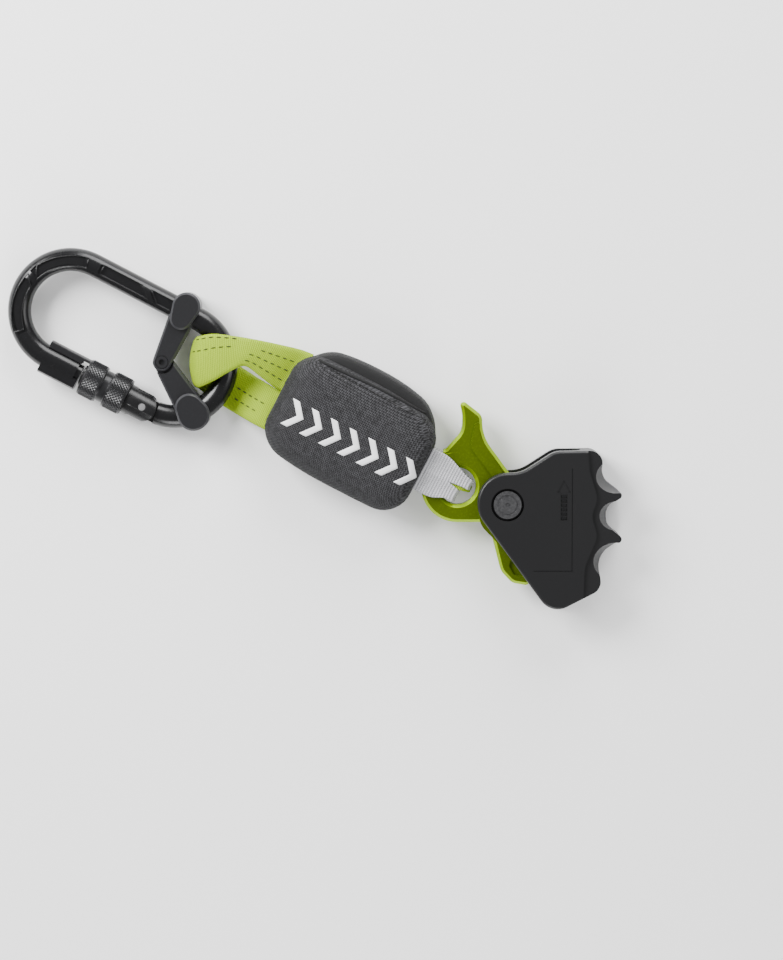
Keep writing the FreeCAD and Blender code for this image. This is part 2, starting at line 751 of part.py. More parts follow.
def make_gate():
    level = "connector_level"
    core_start = ("sleeve_left - 1.5", GATE_AXIS, level)
    core = cylinder("gate_stem", "gate_core", core_start, "sleeve_right - sleeve_left + 2", "x")
    collar_start = ("sleeve_right", GATE_AXIS, level)
    collar_long = "gate_pin_place + 6.5 - sleeve_right"
    collar = cylinder("gate_barrel", "gate_radius", collar_start, collar_long, "x")
    end = cylinder("gate_end", 6.5, ("gate_pin_place", GATE_AXIS, -20), "40")
    block_start = ("sleeve_right - 40", "%s - 10" % GATE_AXIS, -20)
    block = box("gate_block", block_start, ("40 + gate_pin_place - sleeve_right", "20", "40"))
    limit = fuse("gate_limit", [end, block])
    ended = common("gate_ended", fuse("gate_solid", [core, collar]), limit)
    swing = "gate_pin_place - sleeve_left + 1.3"
    path = cylinder("gate_path", swing, ("gate_pin_place", GATE_AXIS, -20), "40")
    solid = common("gate_rounded", ended, path)
    slot = box(
        "gate_slot",
        ("gate_pin_place - 5.4", "%s - 10" % GATE_AXIS, "connector_level - tongue_half - 0.2"),
        ("30", "20", "2 * tongue_half + 0.4"),
    )
    bore = cylinder("plunger_bore", 1.6, ("gate_pin_place - 18.5", GATE_AXIS, level), "20", "x")
    pin_hole = cylinder("gate_pin_hole", "gate_pin_radius", ("gate_pin_place", GATE_AXIS, -20), "40")
    node("gate_body", cut("gate_body", solid, [slot, bore, pin_hole]), LANYARD)
    pin_low = "connector_level - gate_radius + 0.3"
    shank_start = ("gate_pin_place", GATE_AXIS, pin_low)
    shank = cylinder("gate_pin_shank", "gate_pin_radius", shank_start, "2 * gate_radius - 0.6")
    peen_start = ("gate_pin_place", GATE_AXIS, pin_low + " - 0.2")
    peen = cylinder("gate_pin_peen", "gate_pin_radius - 0.5", peen_start, "2 * gate_radius - 0.2")
    node("gate_pin", fuse("gate_pin", [shank, peen]), LANYARD)
    barrel = cylinder("plunger_barrel", 1.5, ("gate_pin_place - 9", GATE_AXIS, level), "3.1", "x")
    tip = cylinder("plunger_tip", 1.1, ("gate_pin_place - 9", GATE_AXIS, level), "3.5", "x")
    node("gate_plunger", fuse("gate_plunger", [barrel, tip]), LANYARD)
    turns = []
    for turn in range(16):
        place = ("gate_pin_place - 18.1 + %s" % (0.55 * turn), GATE_AXIS, level)
        turns.append(ring("gate_turn%d" % turn, 1.15, 0.3, place, "x"))
    node("gate_spring", fuse("gate_spring", turns), LANYARD)


def make_sleeve():
    level = "connector_level"
    start = ("sleeve_left", GATE_AXIS, level)
    hood_start = ("hood_end", GATE_AXIS, level)
    band_a = cylinder("band_a", "sleeve_radius", start, "8.7", "x")
    band_b = cylinder("band_b", "sleeve_radius", ("sleeve_right - 9", GATE_AXIS, level), "9", "x")
    neck = cylinder("sleeve_neck", "sleeve_radius - 1", start, "sleeve_right - sleeve_left", "x")
    hood_long = "sleeve_left - hood_end + 1"
    hood_tube = cylinder("hood_tube", "sleeve_radius - 0.4", hood_start, hood_long, "x")
    hood_side = box(
        "hood_side",
        ("hood_end - 1", "%s + 2.6" % GATE_AXIS, "connector_level - 3.4"),
        ("30", "9", "6.8"),
    )
    solid = fuse("sleeve_solid", [band_a, band_b, neck, common("hood_strip", hood_tube, hood_side)])
    bore_start = ("sleeve_left - sleeve_stroke - 0.2", GATE_AXIS, level)
    bore = cylinder("sleeve_bore_bar", "sleeve_bore", bore_start, "40", "x")
    hood_bore = cylinder("hood_bore", "bar_radius + side_gap", hood_start, "40", "x")
    node("lock_sleeve", cut("lock_sleeve", solid, [bore, hood_bore]), LANYARD)
    carrier_start = ("sleeve_left + 3", GATE_AXIS, level)
    carrier = cylinder("carrier_outer", "gate_radius", carrier_start, "8", "x")
    carrier_bore = cylinder("carrier_bore", "gate_core + running_gap", start, "40", "x")
    node("sleeve_carrier", cut("sleeve_carrier", carrier, [carrier_bore]), LANYARD)
    turns = []
    for turn in range(12):
        place = ("sleeve_left + 11.5 + %s" % (0.8 * turn), GATE_AXIS, level)
        turns.append(ring("sleeve_turn%d" % turn, 5.9, 0.45, place, "x"))
    node("sleeve_spring", fuse("sleeve_spring", turns), LANYARD)
    clip = cylinder("clip_outer", 6.5, ("sleeve_left + 1.6", GATE_AXIS, level), "1.2", "x")
    clip_bore = cylinder("clip_bore", "gate_core + running_gap", start, "5", "x")
    gap_start = ("sleeve_left", "%s + 1" % GATE_AXIS, "connector_level - 1.2")
    clip_gap = box("clip_gap", gap_start, ("5", "10", "2.4"))
    node("retaining_clip", cut("retaining_clip", clip, [clip_bore, clip_gap]), LANYARD)


ELBOW = (-142.8, -11.9)
UPPER_END = (-144.3, 15.3)
LOWER_END = (-119.5, -26.1)


def side_lines(start, start_radius, end, end_radius):
    """The four points where two round ends meet their common sides."""
    from_point = Vector(*start, 0)
    to_point = Vector(*end, 0)
    along = (to_point - from_point).normalize()
    aside = Vector(-along.y, along.x, 0)
    lean = (start_radius - end_radius) / (to_point - from_point).Length
    rise = math.sqrt(1 - lean * lean)
    points = []
    for side in (1, -1):
        normal = along * lean + aside * (rise * side)
        pair = [from_point + normal * start_radius, to_point + normal * end_radius]
        points += pair if side == 1 else pair[::-1]
    return points


def prism(name, lower, upper, low, high):
    """A solid between two straight-sided outlines at two levels."""
    sections = []
    for side, points, level in (("lower", lower, low), ("upper", upper, high)):
        sketch = doc.addObject("Sketcher::SketchObject", "%s_%s" % (name, side))
        for number, point in enumerate(points):
            sketch.addGeometry(Part.LineSegment(points[number - 1], point), False)
        bind(sketch, {"Placement.Base.z": level})
        sections.append(sketch)
    loft = doc.addObject("Part::Loft", name)
    loft.Sections = sections
    loft.Solid = True
    loft.Ruled = True
    return loft


def link_arm(name, start, start_radius, end, end_radius, low, high):
    """A tapered bar with two round ends and sloped edges above and below."""
    gap = num("link_rim")
    wide = side_lines(start, start_radius, end, end_radius)
    narrow = side_lines(start, start_radius - gap, end, end_radius - gap)
    inner_low = "%s + link_rim" % low
    inner_high = "%s - link_rim" % high
    pieces = [prism(name + "_middle", wide, wide, inner_low, inner_high)]
    pieces.append(prism(name + "_top", wide, narrow, inner_high, high))
    pieces.append(prism(name + "_under", narrow, wide, low, inner_low))
    for side, centre, radius in (("first", start, start_radius), ("last", end, end_radius)):
        height = "(%s) - (%s)" % (inner_high, inner_low)
        pieces.append(cylinder("%s_%s" % (name, side), radius, (*centre, inner_low), height))
        for where, level, ends in (
            ("top", inner_high, (radius, radius - gap)),
            ("under", low, (radius - gap, radius)),
        ):
            cone = doc.addObject("Part::Cone", "%s_%s_%s" % (name, side, where))
            bind(cone, {"Radius1": ends[0], "Radius2": ends[1], "Height": "link_rim"})
            bind_place(cone, (*centre, level))
            pieces.append(cone)
    return fuse(name, pieces)


def make_links():
    level = "connector_level"
    thin_low = "connector_level - link_arm_half"
    thin_high = "connector_level + link_arm_half"
    full_low = "connector_level - link_half"
    full_high = "connector_level + link_half"
    gap = "bar_radius + running_gap"
    upper_arm = link_arm("upper_arm", ELBOW, 4.1, UPPER_END, 6.3, thin_low, thin_high)
    upper_head = link_arm("upper_head", (-144.0, 9.4), 5.0, UPPER_END, 6.3, full_low, full_high)
    upper = fuse("upper_solid", [upper_arm, upper_head])
    spine_room = cylinder("spine_room", gap, ("bow_centre - 30", "spine_up", level), "60", "x")
    lap_under = cylinder("lap_under", "lap_radius", (*ELBOW, -20), "20 + connector_level + 0.05")
    screw_room = cylinder("screw_room", 1.8, (*ELBOW, -20), "40")
    head_room = cylinder("head_room", 2.9, (*ELBOW, "connector_level + link_arm_half - 2"), "20")
    node("link_upper", cut("link_upper", upper, [spine_room, lap_under, screw_room, head_room]), LANYARD)

    lower_arm = link_arm("lower_arm", ELBOW, 4.1, LOWER_END, 6.75, thin_low, thin_high)
    lower_head = link_arm("lower_head", (-122.5, -24.3), 6.4, LOWER_END, 7.3, full_low, full_high)
    lower = fuse("lower_solid", [lower_arm, lower_head])
    bow_room = ring("bow_room", "bow_radius", gap, ("bow_centre", BOW_MIDDLE, level))
    lap_over = cylinder("lap_over", "lap_radius", (*ELBOW, "connector_level - 0.05"), "20")
    nut_room = cylinder("nut_room", 2.9, (*ELBOW, -20), "20 + connector_level - link_arm_half + 2")
    screw_room = cylinder("screw_room_low", 1.8, (*ELBOW, -20), "40")
    node("link_lower", cut("link_lower", lower, [bow_room, lap_over, nut_room, screw_room]), LANYARD)

    head = cylinder("screw_head", 2.7, (*ELBOW, "connector_level + link_arm_half - 2"), "2.3")
    shank = cylinder("screw_shank", 1.6, (*ELBOW, thin_low + " + 0.3"), "2 * link_arm_half - 1")
    socket = doc.addObject("Part::Prism", "screw_socket")
    socket.Polygon = 6
    bind(socket, {"Circumradius": "1.45", "Height": "5"})
    bind_place(socket, (*ELBOW, "connector_level + link_arm_half - 1.1"))
    node("link_screw", cut("link_screw", fuse("screw_solid", [head, shank]), [socket]), LANYARD)
    nut = cylinder("link_nut_disc", 2.7, (*ELBOW, thin_low + " + 0.1"), "1.9")
    nut_bore = cylinder("link_nut_bore", 1.6, (*ELBOW, -20), "40")
    node("link_nut", cut("link_nut", nut, [nut_bore]), LANYARD)


def check_document():
    doc.recompute()
    for item in doc.Objects:
        if "Invalid" in item.State or "Error" in item.State:
            raise RuntimeError("%s failed: %s" % (item.Name, item.State))
    labels = [piece.Label for piece in NODES]
    if len(set(labels)) != len(labels):
        raise RuntimeError("two sub-parts share a label")
    for piece in NODES:
        shape = piece.Shape
        if shape.isNull() or not shape.isValid() or not shape.Solids:
            raise RuntimeError("%s has no valid solid" % piece.Label)


make_front_housing()
make_rear_plate()
make_rope_channel()
make_axle()
make_button()
make_stop_pin()
make_cam_lever()
make_pouch()
make_slings()
make_connector_frame()
make_gate()
make_sleeve()
make_links()
check_document()

os.makedirs("parts", exist_ok=True)
for piece in NODES:
    piece.Shape.exportStep("parts/%s.step" % piece.Label)
print("%d sub-parts" % len(NODES))
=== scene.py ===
"""Looks of the mobile fall arrester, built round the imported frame, in metres."""
import json
import math

import bmesh
import bpy
import numpy as np
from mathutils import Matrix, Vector, noise
from mathutils.bvhtree import BVHTree


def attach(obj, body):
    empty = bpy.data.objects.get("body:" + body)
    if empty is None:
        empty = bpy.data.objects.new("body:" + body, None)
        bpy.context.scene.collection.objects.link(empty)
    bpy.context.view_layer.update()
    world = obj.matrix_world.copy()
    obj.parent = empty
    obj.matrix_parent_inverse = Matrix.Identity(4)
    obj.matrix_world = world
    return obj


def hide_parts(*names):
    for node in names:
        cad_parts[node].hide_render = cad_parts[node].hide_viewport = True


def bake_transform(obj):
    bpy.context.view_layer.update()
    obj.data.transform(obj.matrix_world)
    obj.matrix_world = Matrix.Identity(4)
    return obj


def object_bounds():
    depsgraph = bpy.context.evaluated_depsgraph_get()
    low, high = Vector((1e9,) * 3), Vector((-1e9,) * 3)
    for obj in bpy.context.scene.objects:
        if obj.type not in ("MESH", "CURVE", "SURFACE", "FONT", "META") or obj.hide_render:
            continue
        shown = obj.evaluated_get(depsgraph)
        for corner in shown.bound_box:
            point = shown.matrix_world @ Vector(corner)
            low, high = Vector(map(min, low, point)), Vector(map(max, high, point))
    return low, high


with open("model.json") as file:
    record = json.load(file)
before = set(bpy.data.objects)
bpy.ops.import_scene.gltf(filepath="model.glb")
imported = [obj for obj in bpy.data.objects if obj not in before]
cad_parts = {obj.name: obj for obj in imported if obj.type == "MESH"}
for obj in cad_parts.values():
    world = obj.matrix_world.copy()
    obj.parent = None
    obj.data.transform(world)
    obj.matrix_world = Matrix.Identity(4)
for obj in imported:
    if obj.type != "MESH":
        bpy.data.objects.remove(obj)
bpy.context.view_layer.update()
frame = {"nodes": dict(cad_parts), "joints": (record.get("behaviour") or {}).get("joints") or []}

MM = 0.001
NODES = frame["nodes"]
JOINTS = {joint["name"]: joint for joint in frame["joints"]}

# The lanyard's own frame: U from the connector to the lever's eye, W across it.
EYE = Vector(JOINTS["absorber_swing"]["pos_m"])
ALONG = Vector(JOINTS["sleeve_slide"]["axis"]).normalized()
ACROSS = Vector((0, 0, 1)).cross(ALONG)
TURN = math.atan2(ALONG.y, ALONG.x)
AXLE = Vector(JOINTS["cam_pivot"]["pos_m"])
GATE_PIN = Vector(JOINTS["gate_open"]["pos_m"])


def at(u, w, z):
    """A point given in millimetres in the lanyard's frame."""
    return EYE + ALONG * (u * MM) + ACROSS * (w * MM) + Vector((0, 0, z * MM))


def local(point):
    """The lanyard-frame place of a point, in millimetres."""
    away = Vector(point) - EYE
    return Vector((away.dot(ALONG), away.dot(ACROSS), away.z)) / MM


def local_box(name):
    places = [local(vertex.co) for vertex in NODES[name].data.vertices]
    low = Vector([min(place[i] for place in places) for i in range(3)])
    high = Vector([max(place[i] for place in places) for i in range(3)])
    return low, high


# Materials -------------------------------------------------------------------

# A wave texture of scale 1 repeats after this many metres.
WAVE_PERIOD = 0.314


def shader_of(material):
    return material.node_tree.nodes["Principled BSDF"]


def new_material(name, colour, roughness, metallic=0.0):
    material = bpy.data.materials.new(name)
    material.use_nodes = True
    inputs = shader_of(material).inputs
    inputs["Base Color"].default_value = (*colour, 1)
    inputs["Roughness"].default_value = roughness
    inputs["Metallic"].default_value = metallic
    inputs["Specular IOR Level"].default_value = 0.35
    return material


def add(material, kind, **settings):
    """A new node, with each setting put on its input or, failing that, on itself."""
    made = material.node_tree.nodes.new(kind)
    for name, value in settings.items():
        if name in made.inputs:
            made.inputs[name].default_value = value
        else:
            setattr(made, name, value)
    return made


def link(material, source, output, target, socket):
    material.node_tree.links.new(source.outputs[output], target.inputs[socket])


def object_noise(material, scale, detail):
    """Noise that stays fixed to its piece."""
    place = add(material, "ShaderNodeTexCoord")
    grain = add(material, "ShaderNodeTexNoise", Scale=scale, Detail=detail)
    link(material, place, "Object", grain, "Vector")
    return grain


def turned_place(material):
    """Object coordinates in the lanyard's frame, so that patterns follow it."""
    place = add(material, "ShaderNodeTexCoord")
    mapping = add(material, "ShaderNodeMapping", vector_type="TEXTURE")
    mapping.inputs["Location"].default_value = EYE
    mapping.inputs["Rotation"].default_value = (0, 0, TURN)
    link(material, place, "Object", mapping, "Vector")
    return mapping


def wrapped_place(material):
    """The same place with its height added to both, for cloth that turns down."""
    place = turned_place(material)
    split = add(material, "ShaderNodeSeparateXYZ")
    link(material, place, "Vector", split, "Vector")
    joined = add(material, "ShaderNodeCombineXYZ")
    for axis in ("X", "Y"):
        total = add(material, "ShaderNodeMath", operation="ADD")
        link(material, split, axis, total, 0)
        link(material, split, "Z", total, 1)
        link(material, total, "Value", joined, axis)
    return joined


def bump(material, height, output, strength, distance):
    """Relief from a pattern, with its depth in metres."""
    made = add(material, "ShaderNodeBump", Strength=strength, Distance=distance)
    link(material, height, output, made, "Height")
    link(material, made, "Normal", shader_of(material), "Normal")


def shade(colour, factor):
    return [min(1, part * factor) for part in colour]


def colour_ramp(material, source, output, dark, light):
    """Colours a piece by a pattern, and returns the ramp's two ends."""
    ramp = add(material, "ShaderNodeValToRGB")
    ends = ramp.color_ramp.elements
    ends[0].color = (*dark, 1)
    ends[1].color = (*light, 1)
    link(material, source, output, ramp, "Fac")
    link(material, ramp, "Color", shader_of(material), "Base Color")
    return ends


def mottle(material, colour, spread, scale):
    """Colour that drifts between two near shades."""
    grain = object_noise(material, scale, 4.0)
    ends = colour_ramp(material, grain, "Fac", shade(colour, 1 - spread), shade(colour, 1 + spread))
    ends[0].position = 0.3
    ends[1].position = 0.7


def painted_rim_highlight(material, face_colour, rim_highlight_colour, low, high=0.99):
    """Paints a highlight on the rims: faces that look up or down keep one shade, and sloped rims take
    another, lighter one where light would catch them.
    Low and high are the normal's heights where the change starts and ends."""
    # The rim shade is painted light: it brightens sloped faces the way side lamps would.
    place = add(material, "ShaderNodeTexCoord")
    split = add(material, "ShaderNodeSeparateXYZ")
    link(material, place, "Normal", split, "Vector")
    level = add(material, "ShaderNodeMath", operation="ABSOLUTE")
    link(material, split, "Z", level, 0)
    reach = add(material, "ShaderNodeMapRange")
    reach.inputs["From Min"].default_value = low
    reach.inputs["From Max"].default_value = high
    link(material, level, "Value", reach, "Value")
    uneven = add(material, "ShaderNodeMath", operation="MULTIPLY_ADD")
    uneven.inputs[1].default_value = 0.5
    uneven.inputs[2].default_value = -0.25
    link(material, object_noise(material, 1200.0, 4.0), "Fac", uneven, 0)
    total = add(material, "ShaderNodeMath", operation="ADD", use_clamp=True)
    link(material, reach, "Result", total, 0)
    link(material, uneven, "Value", total, 1)
    mix = add(material, "ShaderNodeMix", data_type="RGBA")
    mix.inputs[6].default_value = (*rim_highlight_colour, 1)
    mix.inputs[7].default_value = (*face_colour, 1)
    link(material, total, "Value", mix, 0)
    link(material, mix, 2, shader_of(material), "Base Color")


def paint(material, colour, rim_highlight, spread, scale):
    """A drifting colour or, where a rim shade and its start are given, a painted highlight on the rims."""
    if rim_highlight is None:
        mottle(material, colour, spread, scale)
    else:
        painted_rim_highlight(material, colour, *rim_highlight)


def moulded(name, colour, roughness, rim_highlight=None):
    """Moulded plastic with a fine spark-eroded grain, and a painted highlight on its rims where one is
    given.
    """
    material = new_material(name, colour, roughness)
    paint(material, colour, rim_highlight, 0.12, 90)
    bump(material, object_noise(material, 2600.0, 2.0), "Fac", 0.25, 0.0001)
    return material


def anodised(name, colour, roughness, metallic, rim_highlight=None, grain_scale=1500.0, depth=0.00006):
    """Anodised aluminium with a fine blasted surface and an uneven gloss, and a painted highlight on its
    rims where one is given.
    """
    material = new_material(name, colour, roughness, metallic)
    paint(material, colour, rim_highlight, 0.1, 60)
    fine = object_noise(material, grain_scale, 3.0)
    gloss = add(material, "ShaderNodeMapRange")
    gloss.inputs["To Min"].default_value = roughness - 0.06
    gloss.inputs["To Max"].default_value = roughness + 0.1
    link(material, fine, "Fac", gloss, "Value")
    link(material, gloss, "Result", shader_of(material), "Roughness")
    bump(material, fine, "Fac", 0.3, depth)
    return material


def turned_steel(name, colour, centre):
    """Turned metal with faint concentric tool marks about an axle."""
    material = new_material(name, colour, 0.38, 0.9)
    mottle(material, colour, 0.25, 900)
    place = add(material, "ShaderNodeTexCoord")
    mapping = add(material, "ShaderNodeMapping", vector_type="TEXTURE")
    mapping.inputs["Location"].default_value = centre
    link(material, place, "Object", mapping, "Vector")
    rings = add(material, "ShaderNodeTexWave", wave_type="RINGS", rings_direction="Z", Scale=700.0)
    rings.inputs["Distortion"].default_value = 1.0
    link(material, mapping, "Vector", rings, "Vector")
    bump(material, rings, "Fac", 0.35, 0.00008)
    return material


def woven(name, colour, pitch, contrast, roughness, depth):
    """A plain weave: two crossed sets of threads, each pitch metres apart."""
    material = new_material(name, colour, roughness)
    place = wrapped_place(material)
    warp = add(material, "ShaderNodeTexWave", bands_direction="X", Scale=WAVE_PERIOD / pitch)
    weft = add(material, "ShaderNodeTexWave", bands_direction="Y", Scale=WAVE_PERIOD / pitch)
    over = add(material, "ShaderNodeTexChecker", Scale=1.0 / pitch)
    for threads in (warp, weft, over):
        link(material, place, "Vector", threads, "Vector")
    chosen = add(material, "ShaderNodeMix", data_type="FLOAT")
    link(material, over, "Fac", chosen, "Factor")
    link(material, warp, "Fac", chosen, "A")
    link(material, weft, "Fac", chosen, "B")
    grain = add(material, "ShaderNodeTexNoise", Scale=400.0, Detail=3.0)
    link(material, place, "Vector", grain, "Vector")
    worn = add(material, "ShaderNodeMath", operation="MULTIPLY")
    link(material, chosen, "Result", worn, 0)
    link(material, grain, "Fac", worn, 1)
    light = shade(colour, 1 + 3.5 * contrast)
    ends = colour_ramp(material, worn, "Value", shade(colour, 1 - contrast), light)
    ends[1].position = 0.6
    bump(material, chosen, "Result", 0.7, depth)
    return material


def webbing(name, colour, pitch, depth, contrast=0.25):
    """Tape with ribs across it, which its UV map carries along its length."""
    thread_pitch = 0.0009
    material = new_material(name, colour, 0.75)
    place = add(material, "ShaderNodeUVMap", uv_map="tape")
    ribs = add(material, "ShaderNodeTexWave", bands_direction="X", Scale=WAVE_PERIOD / pitch)
    threads = add(material, "ShaderNodeTexWave", bands_direction="Y", Scale=WAVE_PERIOD / thread_pitch)
    for pattern in (ribs, threads):
        link(material, place, "UV", pattern, "Vector")
    both = add(material, "ShaderNodeMath", operation="MULTIPLY_ADD")
    both.inputs[1].default_value = 0.35
    link(material, threads, "Fac", both, 0)
    link(material, ribs, "Fac", both, 2)
    colour_ramp(material, both, "Value", shade(colour, 1 - contrast), shade(colour, 1 + contrast))
    bump(material, both, "Value", 0.6, depth)
    return material


BLACK = (0.004, 0.004, 0.0045)
LIME = (0.22, 0.33, 0.0)
POLISHED = {"grain_scale": 900.0, "depth": 0.00002}
MATERIALS = {
    # The second colour is a painted highlight on the housing's rims, lighter than its black faces.
    "housing": moulded("housing_plastic", BLACK, 0.4, ((0.008, 0.008, 0.0088), 0.8)),
    # The second colour is a painted highlight on the lever's rims, lighter than its faces.
    "green": anodised("green_anodised", (0.075, 0.115, 0.0), 0.32, 0.6, ((0.26, 0.40, 0.0), 0.7)),
    "frame": anodised("black_anodised", BLACK, 0.22, 0.0, **POLISHED),
    "gate": anodised("gate_anodised", (0.006, 0.006, 0.0065), 0.26, 0.1, **POLISHED),
    "sleeve": anodised("sleeve_anodised", (0.011, 0.011, 0.012), 0.28, 0.3),
    # The second colour is a painted highlight on the link's rims, lighter than its faces.
    "link": moulded("link_metal", (0.008, 0.008, 0.009), 0.33, ((0.03, 0.03, 0.033), 0.8)),
    # Dark steel. On the axle, its darkness is also painted shade, so the ring gap round the button reads
    # dark.
    "dark": anodised("dark_steel_and_gap_shade", (0.012, 0.012, 0.013), 0.35, 0.4),
    "button": turned_steel("button_steel", (0.085, 0.085, 0.088), AXLE),
    "steel": anodised("spring_steel", (0.5, 0.5, 0.51), 0.28, 0.95),
    "rivet": anodised("rivet_steel", (0.62, 0.62, 0.63), 0.25, 0.95),
    "bronze": anodised("bush_bronze", (0.45, 0.3, 0.13), 0.35, 0.9),
    "pouch": woven("pouch_weave", (0.012, 0.012, 0.013), 0.0009, 0.9, 0.9, 0.0005),
    "flap": woven("flap_weave", (0.002, 0.002, 0.0022), 0.0005, 0.4, 0.75, 0.0001),
    "grey_tape": webbing("grey_tape", (0.33, 0.33, 0.345), 0.0013, 0.0006),
    "lime_tape": webbing("lime_tape", LIME, 0.0008, 0.0003, 0.3),
    "thread": woven("thread", (0.006, 0.006, 0.006), 0.0003, 0.3, 0.8, 0.0001),
    "print": moulded("white_print", (0.74, 0.74, 0.75), 0.6),
}

LOOKS = {
    "front_housing": "housing",
    "rear_plate": "housing",
    "rope_channel": "steel",
    # The axle is dark partly as painted shade in the ring gap round the button.
    "axle": "dark",
    "axle_nut": "dark",
    "axle_button": "button",
    "button_spring": "steel",
    "stop_pin": "steel",
    "cam_lever": "green",
    "cam_bushing": "bronze",
    "cam_spring": "steel",
    "tear_webbing_pack": "flap",
    "sling_green_tail": "flap",
    "sling_grey": "flap",
    "sling_green": "flap",
    "pouch_cover": "pouch",
    "pouch_flap": "flap",
    "carabiner_frame": "frame",
    "gate_body": "gate",
    "gate_pin": "rivet",
    "gate_plunger": "rivet",
    "gate_spring": "steel",
    "lock_sleeve": "sleeve",
    "sleeve_carrier": "gate",
    "sleeve_spring": "steel",
    "retaining_clip": "dark",
    "link_upper": "link",
    "link_lower": "link",
    "link_screw": "link",
    "link_nut": "steel",
}
for name, look in LOOKS.items():
    part = NODES[name]
    part.data.materials.clear()
    part.data.materials.append(MATERIALS[look])


# How far the sharp edges of some CAD parts are broken, in millimetres.
EDGE_WIDTHS = {"gate_body": 0.35, "lock_sleeve": 0.35, "axle_button": 0.2, "link_screw": 0.2}
WELD_REACH = 0.002
SHARP_ANGLE = 30


def soften(name, width):
    """Breaks the sharp edges of a CAD part, as tumbling or moulding does."""
    weld = NODES[name].modifiers.new("joined", "WELD")
    weld.merge_threshold = WELD_REACH * MM
    bevel = NODES[name].modifiers.new("edge", "BEVEL")
    bevel.width = width * MM
    bevel.segments = 3
    bevel.limit_method = "ANGLE"
    bevel.angle_limit = math.radians(SHARP_ANGLE)
    bevel.use_clamp_overlap = True


for name, width in EDGE_WIDTHS.items():
    soften(name, width)


# Mesh helpers ------------------------------------------------------------------

def mesh_object(name, points, faces, material, smooth=True):
    mesh = bpy.data.meshes.new(name)
    mesh.from_pydata([tuple(point) for point in points], [], faces)
    mesh.validate()
    mesh.update()
    made = bpy.data.objects.new(name, mesh)
    bpy.context.scene.collection.objects.link(made)
    mesh.materials.append(MATERIALS[material])
    for face in mesh.polygons:
        face.use_smooth = smooth
    return made


def smooth_run(keys, count):
    """Catmull-Rom points through rows of numbers, evenly spread."""
    rows = np.array(keys, float)
    padded = np.vstack([2 * rows[0] - rows[1], rows, 2 * rows[-1] - rows[-2]])
    spans = len(rows) - 1
    result = []
    for step in range(count):
        place = spans * step / (count - 1)
        index = min(int(place), spans - 1)
        part = place - index
        a, b, c, d = padded[index:index + 4]
        result.append(
            0.5 * (2 * b + (c - a) * part + (2 * a - 5 * b + 4 * c - d) * part ** 2
                   + (3 * b - a - 3 * c + d) * part ** 3)
        )
    return np.array(result)


class Strip:
    """A run of webbing: its two edges, its face's direction and its crown.
    Each key is (u, w, z) of the high edge, the same of the low edge, and how
    far the middle stands proud of the line between them, in millimetres."""

    def __init__(self, keys, count):
        rows = smooth_run(keys, count)
        self.count = count
        self.high = [at(*row[:3]) for row in rows]
        self.low = [at(*row[3:6]) for row in rows]
        self.crown = [row[6] * MM for row in rows]
        self.normals = []
        for number in range(count):
            before, after = max(0, number - 1), min(count - 1, number + 1)
            step = self.high[after] + self.low[after] - self.high[before] - self.low[before]
            self.normals.append((self.high[number] - self.low[number]).cross(step).normalized())

    def spot(self, number, part, lift=0.0):
        """The place at part of the width, lifted off the middle of the cloth."""
        rise = self.crown[number] * (1 - (2 * part - 1) ** 2) + lift
        return self.low[number].lerp(self.high[number], part) + self.normals[number] * rise


def ring_faces(rings, size, base=0):
    """Quads that join rings of points, laid one after another from base on."""
    faces = []
    for ring in range(rings - 1):
        a = base + ring * size
        b = a + size
        for step in range(size):
            following = (step + 1) % size
            faces.append((a + step, a + following, b + following, b + step))
    return faces


def end_faces(rings, size, base=0):
    """The two faces that close a run of rings."""
    last = base + (rings - 1) * size
    first_face = tuple(base + step for step in reversed(range(size)))
    last_face = tuple(last + step for step in range(size))
    return [first_face, last_face]


def tape(name, keys, count, thick, material):
    """A closed strip of webbing with rounded selvedges."""
    selvedge, thickening = 0.35, 5
    across = 16
    strip = Strip(keys, count)
    half = thick * MM / 2
    points, coords = [], []
    length = 0.0
    for number in range(count):
        if number:
            length += (strip.spot(number, 0.5) - strip.spot(number - 1, 0.5)).length
        width = (strip.high[number] - strip.low[number]).length
        for side in (1, -1):
            for step in range(across + 1):
                part = step / across if side == 1 else 1 - step / across
                fullness = min(1.0, (1 - abs(2 * part - 1)) * thickening + selvedge)
                points.append(strip.spot(number, part, side * half * fullness))
                coords.append((length, part * width))
    ring = 2 * (across + 1)
    made = mesh_object(name, points, ring_faces(count, ring) + end_faces(count, ring), material)
    layer = made.data.uv_layers.new(name="tape")
    for loop in made.data.loops:
        layer.data[loop.index].uv = coords[loop.vertex_index]
    fix_normals(made)
    return made


def fix_normals(made):
    """Turns every face of a piece outward."""
    work = bmesh.new()
    work.from_mesh(made.data)
    bmesh.ops.recalc_face_normals(work, faces=work.faces)
    work.to_mesh(made.data)
    work.free()


# A stitch's section, in shares of its half width and its height, and its
# stations: the share of its length, and how much of the section it has there.
STITCH_SECTION = ((1, -0.6), (0.7, 0.6), (0, 1), (-0.7, 0.6), (-1, -0.6))
STITCH_STATIONS = ((0, 0.4), (0.25, 1.0), (0.75, 1.0), (1, 0.4))
STITCH_PITCH = 3.4
STITCH_LENGTH = 2.1
THREAD = 0.6


def dash(points, faces, start, end, normal, width):
    """One stitch: a low rounded bar from start to end, lying on a face."""
    along = (end - start).normalized()
    aside = normal.cross(along).normalized() * (width / 2)
    lift = normal * (width * 0.45)
    base = len(points)
    for part, share in STITCH_STATIONS:
        place = start.lerp(end, part)
        for x, y in STITCH_SECTION:
            points.append(place + aside * (x * share) + lift * (y * share))
    rings, size = len(STITCH_STATIONS), len(STITCH_SECTION)
    faces.extend(ring_faces(rings, size, base))
    faces.extend(end_faces(rings, size, base))


